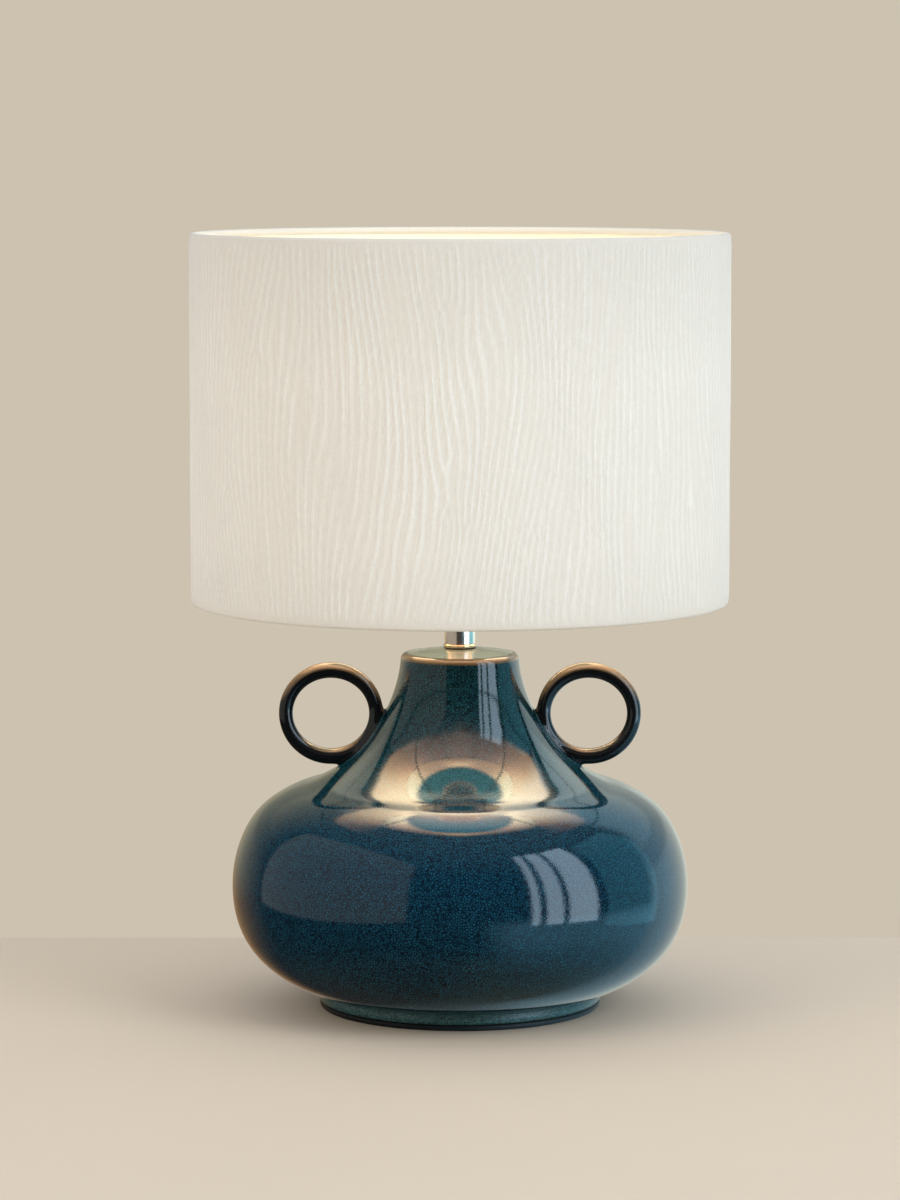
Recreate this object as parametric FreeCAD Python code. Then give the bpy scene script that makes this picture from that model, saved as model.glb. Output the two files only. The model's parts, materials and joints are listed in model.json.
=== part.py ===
"""Table lamp: a squat glazed vessel with a flared neck and two ring handles, a drum shade and a bulb.

Millimetres. The origin is on the table under the middle of the foot, +Z is up, +X is to the
right of a viewer in front, and the front faces -Y. The bush for the flex is at the back.
"""
import FreeCAD, Part
import math
import os

V = FreeCAD.Vector
UP = V(0, 0, 1)
ALONG_X = V(1, 0, 0)
ALONG_Y = V(0, 1, 0)

# Pad under the foot
pad_thickness = 4.0
pad_radius = 92.0
pad_edge_radius = 1.5

# Outside of the vessel from the foot up: radius, and rise above the station below
groove_radius, groove_rise = 91.8, 6.4
under_radius, under_rise = 102.0, 3.3
flank_radius, flank_rise = 122.0, 10.7
haunch_radius, haunch_rise = 141.0, 20.7
belly_radius, belly_rise = 149.3, 34.6
brow_radius, brow_rise = 144.9, 26.9
shoulder_radius, shoulder_rise = 130.6, 23.9
saddle_radius, saddle_rise = 93.5, 19.4
flare_radius, flare_rise = 60.5, 23.9
throat_radius, throat_rise = 49.6, 18.3
neck_radius, neck_rise = 42.3, 18.3
lip_radius, lip_rise = 38.7, 18.9

# Closed top of the neck, with a flat land for the fittings
top_edge_inset, top_edge_rise, top_edge_bulge = 3.5, 3.3, 1.0
top_land_radius, top_land_rise = 12.5, 3.0
top_dome_rise = 0.8
neck_hole_radius = 5.5
neck_top_thickness = 7.0

# Walls, floor and foot of the vessel
vessel_wall = 6.0
foot_bulge = 0.9
foot_bead_radius = 84.0
floor_underside = 12.0
floor_thickness = 6.0
floor_opening_radius = 55.0

# Ring handles luted to the flare of the neck
handle_ring_radius = 29.3
handle_bar_radius = 4.85
handle_sink = 3.65
handle_slip_radius = 3.0

# Bush where the flex enters at the back
bush_share = 0.5
bush_bore_radius = 3.5
bush_sleeve_radius = 5.0
bush_flange_radius = 8.0
bush_flange_thickness = 2.0
bush_inside_length = 2.5

# Threaded nipple through the top of the neck
nipple_radius = 5.0
nipple_bore_radius = 3.8
nipple_below_nut = 2.0
nipple_into_cap = 9.0
thread_gap = 0.1

# Fittings that the nipple clamps on the neck
cushion_radius, cushion_thickness = 10.4, 0.8
check_ring_radius, check_ring_thickness = 10.75, 2.2
check_ring_rounding = 0.9
neck_tube_radius, neck_tube_length = 10.0, 12.0
washer_radius, washer_thickness = 15.0, 1.6
lock_washer_radius, lock_washer_thickness = 8.5, 1.4
lock_washer_split = 1.6
nut_across_flats, nut_thickness = 14.0, 4.0

# Lampholder
holder_radius = 19.5
holder_wall = 2.3
cap_height = 16.0
cap_base_radius = 13.0
cap_crown_height, cap_crown_bulge = 9.0, 1.35
cap_hub_radius = 8.0
cap_hub_length = 8.5
spigot_length = 1.8
shell_length = 50.0
shell_lip_thickness = 2.0
shell_mouth_radius = 14.4
insert_gap = 0.1
insert_web = 1.7
insert_sleeve_radius = 14.1
insert_sleeve_length = 30.0

# Screw shell and contacts in the lampholder
screw_shell_bore_radius = 13.45
screw_shell_wall = 0.5
screw_shell_length = 28.0
screw_shell_lip_radius = 10.2
contact_width, contact_thickness = 5.0, 0.5
contact_reach = 9.0
contact_rise = 2.0
rivet_radius, rivet_head_radius, rivet_head_height = 0.9, 1.4, 0.6
shell_rivet_offset = 11.9
contact_rivet_offset = 7.4
terminal_width, terminal_height = 5.0, 5.5

# Push bar of the switch
bar_radius = 2.7
bar_gap = 0.3
bar_travel = 6.0
bar_proud = 4.0
bar_collar_radius, bar_collar_length = 4.0, 8.0
bar_end_rounding = 0.8

# Threaded rings that hold the shade
shade_ring_radius = 28.0
seat_ring_thickness = 3.4
seat_ring_height = 17.5
clamp_ring_thickness = 5.0
clamp_ring_nose_radius = 22.5
grip_notch_count, grip_notch_radius = 12, 2.0
shade_play = 0.3

# Drum shade
shade_radius = 175.0
shade_height = 240.1
shade_below_fitter = 22.6
fabric_thickness = 0.7
liner_thickness = 0.4
ring_wire_radius = 1.6
hem_thickness = 0.7
fitter_radius, fitter_thickness = 33.0, 2.0
fitter_gap = 0.5
arm_count = 3
arm_wire_radius = 1.6
arm_bend_radius_from_axis = 140.0
arm_bend_radius = 12.0
arm_notch_gap = 0.3

# Bulb
bulb_seat_gap = 0.3
tip_radius, tip_height = 4.8, 1.6
insulator_radius, insulator_height = 11.6, 3.2
bulb_cap_radius, bulb_cap_length, bulb_cap_wall = 13.1, 19.5, 0.4
globe_radius = 30.0
bulb_length = 109.0
globe_wall = 0.8
housing_length = 33.0
housing_swell = 1.6

# Places worked out from the sizes above
vessel_base = pad_thickness
vessel_steps = {
    "groove": (groove_radius, groove_rise),
    "under": (under_radius, under_rise),
    "flank": (flank_radius, flank_rise),
    "haunch": (haunch_radius, haunch_rise),
    "belly": (belly_radius, belly_rise),
    "brow": (brow_radius, brow_rise),
    "shoulder": (shoulder_radius, shoulder_rise),
    "saddle": (saddle_radius, saddle_rise),
    "flare": (flare_radius, flare_rise),
    "throat": (throat_radius, throat_rise),
    "neck": (neck_radius, neck_rise),
    "lip": (lip_radius, lip_rise),
}
lip_height = vessel_base + sum(rise for radius, rise in vessel_steps.values())
top_edge_height = lip_height + top_edge_rise
land_top = top_edge_height + top_land_rise
cushion_top = land_top + cushion_thickness
check_ring_top = cushion_top + check_ring_thickness
tube_top = check_ring_top + neck_tube_length
cap_top = tube_top + cap_height
shell_top = cap_top + shell_length
insert_bottom = cap_top + spigot_length
bar_axis_height = insert_bottom + insert_web + bar_gap + bar_collar_radius
insert_disc_thickness = 2 * (bar_axis_height - insert_bottom)
disc_top = insert_bottom + insert_disc_thickness
seat_ring_bottom = cap_top + seat_ring_height
fitter_bottom = seat_ring_bottom + seat_ring_thickness + shade_play
fitter_middle = fitter_bottom + fitter_thickness / 2
clamp_ring_bottom = fitter_bottom + fitter_thickness + shade_play
shade_bottom = fitter_middle - shade_below_fitter
shade_top = shade_bottom + shade_height
hem_radius = ring_wire_radius + hem_thickness
wire_circle_radius = shade_radius - hem_radius
neck_underside = land_top - neck_top_thickness
contact_top = disc_top + contact_thickness + contact_rise
bulb_bottom = contact_top + bulb_seat_gap
bulb_cap_bottom = bulb_bottom + tip_height + insulator_height
bulb_cap_top = bulb_cap_bottom + bulb_cap_length
globe_centre = bulb_bottom + bulb_length - globe_radius
housing_top = bulb_cap_top + housing_length


def washer(outer, inner, thickness, bottom):
    """A flat ring on the lamp's axis."""
    ring = Part.makeCylinder(outer, thickness, V(0, 0, bottom), UP)
    return ring.cut(Part.makeCylinder(inner, thickness, V(0, 0, bottom), UP))


def lathe(edges):
    """A solid turned about the lamp's axis from a closed outline in the XZ plane."""
    return Part.Face(Part.Wire(edges)).revolve(V(0, 0, 0), UP, 360)


def at(radius, height):
    """A point of an outline in the XZ plane."""
    return V(radius, 0, height)


def line(start, end):
    return Part.LineSegment(start, end).toShape()


def arc(start, through, end):
    return Part.Arc(start, through, end).toShape()


def vessel_stations():
    """The points that the outside of the vessel passes through, by name, from the lip down."""
    height = vessel_base
    stations = []
    for name, (radius, rise) in vessel_steps.items():
        height += rise
        stations.append((name, at(radius, height)))
    return dict(reversed(stations))


def smooth_curve(points):
    curve = Part.BSplineCurve()
    curve.interpolate(list(points))
    return curve


def outward_normal(curve, point):
    """Unit normal of the vessel's outline, pointing out of the clay."""
    tangent = curve.tangent(curve.parameter(point))[0]
    return V(-tangent.z, 0, tangent.x)


def vessel_curve():
    return smooth_curve(vessel_stations().values())


def on_vessel(lower, upper, share):
    """A point of the vessel's outline between two stations, and the outward normal there."""
    curve = vessel_curve()
    stations = vessel_stations()
    start, end = curve.parameter(stations[lower]), curve.parameter(stations[upper])
    point = curve.value(start + (end - start) * share)
    return point, outward_normal(curve, point)


def vessel_outside():
    """The vessel as a solid without its hollow, also used to seat what is luted or pushed into it."""
    curve = vessel_curve()
    groove = at(groove_radius, vessel_base + groove_rise)
    foot_low = at(groove_radius, vessel_base)
    foot_widest = at(groove_radius + foot_bulge, vessel_base + groove_rise / 2)
    lip = at(lip_radius, lip_height)
    edge = at(lip_radius - top_edge_inset, top_edge_height)
    land = at(top_land_radius, land_top)
    rim_middle = (lip + edge) * 0.5
    rim_out = V(edge.z - lip.z, 0, lip.x - edge.x).normalize()
    rim_bulge = rim_middle + rim_out * top_edge_bulge
    dome_middle = (edge + land) * 0.5 + V(0, 0, top_dome_rise)
    return lathe([
        curve.toShape(),
        arc(groove, foot_widest, foot_low),
        line(foot_low, at(0, vessel_base)),
        line(at(0, vessel_base), at(0, land_top)),
        line(at(0, land_top), land),
        arc(land, dome_middle, edge),
        arc(edge, rim_bulge, lip),
    ])


def vessel_hollow():
    """The space inside the wall, between the floor and the closed top of the neck."""
    outer = vessel_curve()
    inner_points = [p - outward_normal(outer, p) * vessel_wall for p in vessel_stations().values()]
    inner = smooth_curve(inner_points)
    top, bottom = inner_points[0], inner_points[-1]
    above_top = at(top.x, land_top)
    filled = lathe([
        inner.toShape(),
        line(bottom, at(0, bottom.z)),
        line(at(0, bottom.z), at(0, above_top.z)),
        line(at(0, above_top.z), above_top),
        line(above_top, top),
    ])
    floor_top = vessel_base + floor_underside + floor_thickness
    room = Part.makeCylinder(belly_radius, neck_underside - floor_top, V(0, 0, floor_top), UP)
    return filled.common(room)


def bush_place():
    """Where the axis of the flex bush meets the outside of the vessel at the back, and its direction."""
    point, normal = on_vessel("flank", "haunch", bush_share)
    return V(0, point.x, point.z), V(0, normal.x, normal.z)


def lamp_body():
    """Glazed vessel: one hollow casting, open at the foot."""
    foot_recess = Part.makeCylinder(foot_bead_radius, floor_underside, V(0, 0, vessel_base), UP)
    opening = Part.makeCylinder(
        floor_opening_radius, floor_underside + 2 * floor_thickness, V(0, 0, vessel_base), UP)
    neck_hole = Part.makeCylinder(neck_hole_radius, 3 * neck_top_thickness,
                                  V(0, 0, land_top - 2 * neck_top_thickness), UP)
    place, direction = bush_place()
    flex_hole = Part.makeCylinder(bush_sleeve_radius, 4 * vessel_wall,
                                  place - direction * 2 * vessel_wall, direction)
    body = vessel_outside().cut(vessel_hollow())
    return body.cut([foot_recess, opening, neck_hole, flex_hole])


def largest(shape):
    return max(shape.Solids, key=lambda solid: solid.Volume)


def handle_ring(side):
    """Ring handle luted to one shoulder, seated on the glaze line with a fillet of slip round the joint."""
    seat, normal = on_vessel("saddle", "flare", 1)
    right_centre = seat + normal * (handle_ring_radius + handle_bar_radius - handle_sink)
    centre = V(side * right_centre.x, 0, right_centre.z)
    ring = Part.makeTorus(handle_ring_radius, handle_bar_radius, centre, ALONG_Y)
    vessel = vessel_outside()
    joined = vessel.fuse(largest(ring.cut(vessel)))
    seams = [edge for edge in joined.Edges if abs(edge.CenterOfMass.y) > handle_bar_radius / 2]
    return largest(joined.makeFillet(handle_slip_radius, seams).cut(vessel))


def base_pad():
    """Moulded pad glued under the foot."""
    disc = Part.makeCylinder(pad_radius, pad_thickness)
    rims = [edge for edge in disc.Edges if edge.Closed]
    return disc.makeFillet(pad_edge_radius, rims)


def cord_bush():
    """Bush for the flex, pushed through the wall at the back."""
    place, direction = bush_place()
    inner_end = vessel_wall + bush_inside_length
    length = inner_end + bush_flange_thickness
    sleeve = Part.makeCylinder(bush_sleeve_radius, length, place - direction * inner_end, direction)
    flange = Part.makeCylinder(bush_flange_radius, 2 * bush_flange_thickness,
                               place - direction * bush_flange_thickness, direction)
    bore = Part.makeCylinder(bush_bore_radius, 2 * length, place - direction * length, direction)
    return sleeve.fuse(flange.cut(vessel_outside())).removeSplitter().cut(bore)


def neck_cushion():
    return washer(cushion_radius, nipple_radius + thread_gap, cushion_thickness, land_top)


def check_ring():
    """Turned ring between the vessel and the neck tube, rounded at its rim."""
    ring = Part.makeCylinder(check_ring_radius, check_ring_thickness, V(0, 0, cushion_top), UP)
    ring = ring.makeFillet(check_ring_rounding, [edge for edge in ring.Edges if edge.Closed])
    bore = Part.makeCylinder(nipple_radius + thread_gap, check_ring_thickness, V(0, 0, cushion_top), UP)
    return ring.cut(bore)


def neck_tube():
    return washer(neck_tube_radius, nipple_radius + thread_gap, neck_tube_length, check_ring_top)


def threaded_nipple():
    stack = washer_thickness + lock_washer_thickness + nut_thickness + nipple_below_nut
    bottom = neck_underside - stack
    return washer(nipple_radius, nipple_bore_radius, tube_top + nipple_into_cap - bottom, bottom)


def inner_washer():
    return washer(washer_radius, nipple_radius + thread_gap, washer_thickness,
                  neck_underside - washer_thickness)


def lock_washer():
    """Split spring washer, drawn flat as it is when the nut is tight."""
    bottom = neck_underside - washer_thickness - lock_washer_thickness
    ring = washer(lock_washer_radius, nipple_radius + thread_gap, lock_washer_thickness, bottom)
    split = Part.makeBox(lock_washer_radius, lock_washer_split, lock_washer_thickness,
                         V(0, -lock_washer_split / 2, bottom))
    return ring.cut(split)


def nipple_nut():
    bottom = neck_underside - washer_thickness - lock_washer_thickness - nut_thickness
    corner = nut_across_flats / math.sqrt(3)
    corners = [V(corner * math.cos(math.radians(60 * i)), corner * math.sin(math.radians(60 * i)), bottom)
               for i in range(7)]
    prism = Part.Face(Part.makePolygon(corners)).extrude(UP * nut_thickness)
    return prism.cut(Part.makeCylinder(nipple_radius + thread_gap, nut_thickness, V(0, 0, bottom), UP))


def holder_cap():
    """Domed lower half of the lampholder, with a threaded hub and a spigot for the shell."""
    inside = holder_radius - holder_wall
    hub_top = tube_top + cap_hub_length
    spigot_top = cap_top + spigot_length
    spigot_radius = inside - holder_wall / 2
    crown_top = tube_top + cap_crown_height
    slope = V(1, 0, -1).normalize() * cap_crown_bulge
    outer_middle = (at(cap_base_radius, tube_top) + at(holder_radius, crown_top)) * 0.5 + slope
    inner_low = at(cap_base_radius - holder_wall / 2, tube_top + holder_wall)
    inner_high = at(spigot_radius, crown_top + holder_wall)
    inner_middle = (inner_low + inner_high) * 0.5 + slope
    bore = nipple_radius + thread_gap
    return lathe([
        line(at(bore, tube_top), at(cap_base_radius, tube_top)),
        arc(at(cap_base_radius, tube_top), outer_middle, at(holder_radius, crown_top)),
        line(at(holder_radius, crown_top), at(holder_radius, cap_top)),
        line(at(holder_radius, cap_top), at(inside - insert_gap, cap_top)),
        line(at(inside - insert_gap, cap_top), at(inside - insert_gap, spigot_top)),
        line(at(inside - insert_gap, spigot_top), at(spigot_radius, spigot_top)),
        line(at(spigot_radius, spigot_top), inner_high),
        arc(inner_high, inner_middle, inner_low),
        line(inner_low, at(cap_hub_radius, tube_top + holder_wall)),
        line(at(cap_hub_radius, tube_top + holder_wall), at(cap_hub_radius, hub_top)),
        line(at(cap_hub_radius, hub_top), at(bore, hub_top)),
        line(at(bore, hub_top), at(bore, tube_top)),
    ])


def bar_hole(length):
    """A round hole for the push bar, right through the lampholder."""
    return Part.makeCylinder(bar_radius + bar_gap, 2 * length, V(-length, 0, bar_axis_height), ALONG_X)


def holder_shell():
    """Upper half of the lampholder: a tube with a lip round its mouth."""
    tube = washer(holder_radius, holder_radius - holder_wall, shell_length, cap_top)
    lip = washer(holder_radius, shell_mouth_radius, shell_lip_thickness, shell_top - shell_lip_thickness)
    return tube.fuse(lip).removeSplitter().cut(bar_hole(2 * holder_radius))


def collar_pocket():
    """Room for the collar of the push bar and its travel."""
    length = bar_collar_length + bar_travel + 2 * bar_gap
    width = 2 * (bar_collar_radius + bar_gap)
    corner = V(-bar_collar_length / 2 - bar_travel - bar_gap, -width / 2, bar_axis_height - width / 2)
    return Part.makeBox(length, width, width, corner)


def rivet_places():
    """Rivets of the screw shell and of the centre contact, as places on the floor of the insert."""
    return V(0, shell_rivet_offset, 0), V(0, -contact_rivet_offset, 0)


def holder_insert():
    """Insulating cup that carries the screw shell, the contacts and the switch."""
    outside = holder_radius - holder_wall - insert_gap
    disc = Part.makeCylinder(outside, insert_disc_thickness, V(0, 0, insert_bottom), UP)
    sleeve = washer(outside, insert_sleeve_radius, insert_sleeve_length, disc_top)
    cup = disc.fuse(sleeve).removeSplitter()
    holes = [Part.makeCylinder(rivet_radius, insert_disc_thickness, place + V(0, 0, insert_bottom), UP)
             for place in rivet_places()]
    return cup.cut([bar_hole(holder_radius), collar_pocket()] + holes)


def screw_shell():
    """Thread shell for the bulb, with a lip that rests on the floor of the insert."""
    outside = screw_shell_bore_radius + screw_shell_wall
    tube = washer(outside, screw_shell_bore_radius, screw_shell_length, disc_top)
    lip = washer(outside, screw_shell_lip_radius, screw_shell_wall, disc_top)
    hole = Part.makeCylinder(rivet_radius, screw_shell_wall, rivet_places()[0] + V(0, 0, disc_top), UP)
    return tube.fuse(lip).removeSplitter().cut(hole)


def centre_contact():
    """Springy strip with a raised middle under the tip of the bulb."""
    flat_end = contact_reach - contact_rise
    crest = flat_end - 2 * contact_rise
    low = disc_top
    high = disc_top + contact_rise
    under = [(-contact_reach, low), (-crest - contact_rise, low), (-crest + contact_rise, high),
             (crest - contact_rise, high), (crest + contact_rise, low), (flat_end, low)]
    over = [(y, z + contact_thickness) for y, z in reversed(under)]
    outline = [V(-contact_width / 2, y, z) for y, z in under + over + under[:1]]
    strip = Part.Face(Part.makePolygon(outline)).extrude(ALONG_X * contact_width)
    hole = Part.makeCylinder(rivet_radius, contact_thickness, rivet_places()[1] + V(0, 0, disc_top), UP)
    return strip.cut(hole)


def contact_rivets():
    """Two rivets that fix the screw shell and the centre contact to the insert."""
    tops = disc_top + screw_shell_wall, disc_top + contact_thickness
    rivets = []
    for place, top in zip(rivet_places(), tops):
        shank = Part.makeCylinder(rivet_radius, top - insert_bottom, place + V(0, 0, insert_bottom), UP)
        head = Part.makeCylinder(rivet_head_radius, rivet_head_height, place + V(0, 0, top), UP)
        rivets.append(shank.fuse(head).removeSplitter())
    return Part.Compound(rivets)


def terminal_blocks():
    """Two terminals for the flex, under the insert."""
    size = V(terminal_width, terminal_width, 0)
    return Part.Compound([
        Part.makeBox(terminal_width, terminal_width, terminal_height,
                     place - size * 0.5 + V(0, 0, insert_bottom - terminal_height))
        for place in rivet_places()])


def push_bar():
    """Sliding bar of the switch, pushed to +X at rest, with a collar that limits its travel."""
    length = 2 * (holder_radius + bar_proud) + bar_travel
    start = -holder_radius - bar_proud
    rod = Part.makeCylinder(bar_radius, length, V(start, 0, bar_axis_height), ALONG_X)
    rod = rod.makeFillet(bar_end_rounding, [edge for edge in rod.Edges if edge.Closed])
    collar = Part.makeCylinder(bar_collar_radius, bar_collar_length,
                               V(-bar_collar_length / 2, 0, bar_axis_height), ALONG_X)
    return rod.fuse(collar).removeSplitter()


def shade_seat_ring():
    return washer(shade_ring_radius, holder_radius + thread_gap, seat_ring_thickness, seat_ring_bottom)


def shade_clamp_ring():
    """Upper threaded ring: a notched flange that presses on the fitter, under a narrower nose."""
    bore = holder_radius + thread_gap
    flange = washer(shade_ring_radius, bore, clamp_ring_thickness / 2, clamp_ring_bottom)
    nose = washer(clamp_ring_nose_radius, bore, clamp_ring_thickness, clamp_ring_bottom)
    notches = []
    for i in range(grip_notch_count):
        angle = math.radians(360 * i / grip_notch_count)
        place = V(shade_ring_radius * math.cos(angle), shade_ring_radius * math.sin(angle), clamp_ring_bottom)
        notches.append(Part.makeCylinder(grip_notch_radius, clamp_ring_thickness, place, UP))
    return flange.fuse(nose).removeSplitter().cut(notches)


def ring_wire(height):
    return Part.makeTorus(wire_circle_radius, ring_wire_radius, V(0, 0, height), UP)


def arm(angle, wire_radius):
    """One arm of the shade carrier: level from the fitter, then down to the lower ring wire."""
    start = V(fitter_radius - fitter_thickness, 0, fitter_middle)
    corner = V(arm_bend_radius_from_axis, 0, fitter_middle)
    end = V(wire_circle_radius, 0, shade_bottom + hem_radius)
    down = (end - corner).normalize()
    turn = down.getAngle(ALONG_X)
    setback = arm_bend_radius * math.tan(turn / 2)
    bend_start, bend_end = corner - ALONG_X * setback, corner + down * setback
    inward = (down - ALONG_X).normalize()
    bend_middle = corner + inward * arm_bend_radius * (1 / math.cos(turn / 2) - 1)
    path = Part.Wire([line(start, bend_start), arc(bend_start, bend_middle, bend_end), line(bend_end, end)])
    section = Part.Wire(Part.makeCircle(wire_radius, start, ALONG_X))
    wire = path.makePipeShell([section], True, False)
    wire.rotate(V(0, 0, 0), UP, angle)
    return wire


def arm_angles():
    """The first arm points to the back."""
    return [90 + 360 * i / arm_count for i in range(arm_count)]


def shade_spider():
    """Lower ring wire, arms and fitter, welded into one carrier for the shade."""
    fitter = washer(fitter_radius, holder_radius + fitter_gap, fitter_thickness, fitter_bottom)
    arms = [arm(angle, arm_wire_radius) for angle in arm_angles()]
    return fitter.fuse(arms + [ring_wire(shade_bottom + hem_radius)])


def shade_top_ring():
    return ring_wire(shade_top - hem_radius)


def shade_fabric():
    """Cover of the drum, rolled round both ring wires and notched where the arms pass."""
    wall = washer(shade_radius, shade_radius - fabric_thickness, shade_height - 2 * hem_radius,
                  shade_bottom + hem_radius)
    heights = shade_bottom + hem_radius, shade_top - hem_radius
    hems = [Part.makeTorus(wire_circle_radius, hem_radius, V(0, 0, height), UP) for height in heights]
    wires = [ring_wire(height) for height in heights]
    notches = [arm(angle, arm_wire_radius + arm_notch_gap) for angle in arm_angles()]
    return wall.fuse(hems).cut(wires + notches)


def shade_liner():
    """Stiff translucent liner glued inside the cover, between the hems."""
    outside = shade_radius - fabric_thickness
    return washer(outside, outside - liner_thickness, shade_height - 4 * hem_radius,
                  shade_bottom + 2 * hem_radius)


def bulb_tip():
    disc = Part.makeCylinder(tip_radius, tip_height, V(0, 0, bulb_bottom), UP)
    low = [edge for edge in disc.Edges if edge.Closed and edge.CenterOfMass.z < bulb_bottom + tip_height / 2]
    return disc.makeFillet(tip_height / 2, low)


def bulb_insulator():
    """Glass button between the tip and the cap of the bulb."""
    return Part.makeCone(tip_radius, insulator_radius, insulator_height,
                         V(0, 0, bulb_bottom + tip_height), UP)


def bulb_cap():
    tube = washer(bulb_cap_radius, bulb_cap_radius - bulb_cap_wall, bulb_cap_length, bulb_cap_bottom)
    floor = Part.makeCylinder(bulb_cap_radius, bulb_cap_wall, V(0, 0, bulb_cap_bottom), UP)
    return tube.fuse(floor).removeSplitter()


def globe_edge_radius():
    """Radius of the globe where the housing meets it."""
    return math.sqrt(globe_radius ** 2 - (globe_centre - housing_top) ** 2)


def bulb_housing():
    """Flared body between the cap and the globe of the bulb."""
    neck = bulb_cap_radius - bulb_cap_wall
    low, high = at(bulb_cap_radius, bulb_cap_top), at(globe_edge_radius(), housing_top)
    middle = (low + high) * 0.5 - V(housing_swell, 0, 0)
    plug_bottom = bulb_cap_top - bulb_cap_length / 2
    return lathe([
        line(at(0, plug_bottom), at(neck, plug_bottom)),
        line(at(neck, plug_bottom), at(neck, bulb_cap_top)),
        line(at(neck, bulb_cap_top), low),
        arc(low, middle, high),
        line(high, at(0, housing_top)),
        line(at(0, housing_top), at(0, plug_bottom)),
    ])


def bulb_globe():
    """Opal globe, hollow, closed below by the housing."""
    centre = V(0, 0, globe_centre)
    ball = Part.makeSphere(globe_radius, centre)
    hollow = Part.makeSphere(globe_radius - globe_wall, centre)
    above = Part.makeBox(4 * globe_radius, 4 * globe_radius, 2 * globe_radius,
                         V(-2 * globe_radius, -2 * globe_radius, housing_top))
    return ball.cut(hollow).common(above)


PIECES = {
    "lamp_body": lamp_body,
    "handle_ring_left": lambda: handle_ring(-1),
    "handle_ring_right": lambda: handle_ring(1),
    "base_pad": base_pad,
    "cord_bush": cord_bush,
    "neck_cushion": neck_cushion,
    "check_ring": check_ring,
    "neck_tube": neck_tube,
    "threaded_nipple": threaded_nipple,
    "inner_washer": inner_washer,
    "lock_washer": lock_washer,
    "nipple_nut": nipple_nut,
    "holder_cap": holder_cap,
    "holder_shell": holder_shell,
    "holder_insert": holder_insert,
    "screw_shell": screw_shell,
    "centre_contact": centre_contact,
    "contact_rivets": contact_rivets,
    "terminal_blocks": terminal_blocks,
    "push_bar": push_bar,
    "shade_seat_ring": shade_seat_ring,
    "shade_clamp_ring": shade_clamp_ring,
    "shade_spider": shade_spider,
    "shade_top_ring": shade_top_ring,
    "shade_fabric": shade_fabric,
    "shade_liner": shade_liner,
    "bulb_tip": bulb_tip,
    "bulb_insulator": bulb_insulator,
    "bulb_cap": bulb_cap,
    "bulb_housing": bulb_housing,
    "bulb_globe": bulb_globe,
}

os.makedirs("parts", exist_ok=True)
for name, make in PIECES.items():
    shape = make()
    shape.exportStep("parts/" + name + ".step")
    box = shape.BoundBox
    print(f"{name:18s} solids {len(shape.Solids)} valid {shape.isValid()} volume {shape.Volume:11.1f}"
          f"  z {box.ZMin:7.2f} to {box.ZMax:7.2f}  x {box.XMin:7.2f} to {box.XMax:7.2f}")
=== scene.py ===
"""Table lamp: a glazed vessel with ring handles under a cloth drum shade, dressed over its solid model.

The file is laid out as an add-on and is run as a script. Metres; +Z is up, the front faces -Y and
every piece has its place in its mesh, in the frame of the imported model.
"""
import json
import math

import bpy
import numpy as np
from bpy.props import FloatProperty, FloatVectorProperty, IntProperty, PointerProperty
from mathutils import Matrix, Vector


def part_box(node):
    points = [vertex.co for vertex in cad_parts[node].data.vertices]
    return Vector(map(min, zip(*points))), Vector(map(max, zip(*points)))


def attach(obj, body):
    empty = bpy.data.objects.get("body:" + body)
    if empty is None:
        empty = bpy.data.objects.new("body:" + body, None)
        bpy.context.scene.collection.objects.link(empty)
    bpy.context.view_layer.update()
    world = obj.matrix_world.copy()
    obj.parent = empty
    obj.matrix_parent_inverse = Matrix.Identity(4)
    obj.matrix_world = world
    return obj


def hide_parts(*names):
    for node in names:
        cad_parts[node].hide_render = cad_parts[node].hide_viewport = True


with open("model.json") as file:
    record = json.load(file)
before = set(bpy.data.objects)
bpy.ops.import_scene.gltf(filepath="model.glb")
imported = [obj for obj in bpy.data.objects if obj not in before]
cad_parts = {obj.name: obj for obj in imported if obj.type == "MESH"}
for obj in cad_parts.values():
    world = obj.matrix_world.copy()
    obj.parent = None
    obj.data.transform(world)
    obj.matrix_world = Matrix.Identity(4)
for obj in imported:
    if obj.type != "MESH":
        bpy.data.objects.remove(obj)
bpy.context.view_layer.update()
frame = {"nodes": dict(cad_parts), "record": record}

bl_info = {
    "name": "Table lamp with ring handles",
    "version": (1, 0, 0),
    "blender": (4, 5, 0),
    "location": "3D View > Sidebar > Lamp",
    "description": "Builds the visible pieces of a table lamp over its packed model",
    "category": "Add Mesh",
}

MM = 0.001


def extent(node):
    """Bottom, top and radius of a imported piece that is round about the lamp's axis."""
    low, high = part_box(node)
    return low[2], high[2], high[0]


def screen(red, green, blue):
    """Colour as seen on a screen, 0 to 255, turned into the linear values that shaders take."""
    c = np.array((red, green, blue)) / 255
    linear = np.where(c <= 0.04045, c / 12.92, ((c + 0.055) / 1.055) ** 2.4)
    return (*linear.tolist(), 1.0)


# Places shared by several pieces
LAND_TOP = extent("neck_cushion")[0]
SHADE_LOW, SHADE_HIGH, SHADE_RADIUS = extent("shade_fabric")
BORE_RADIUS = 5.1 * MM
BULB_THREAD = 3.629 * MM

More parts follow.
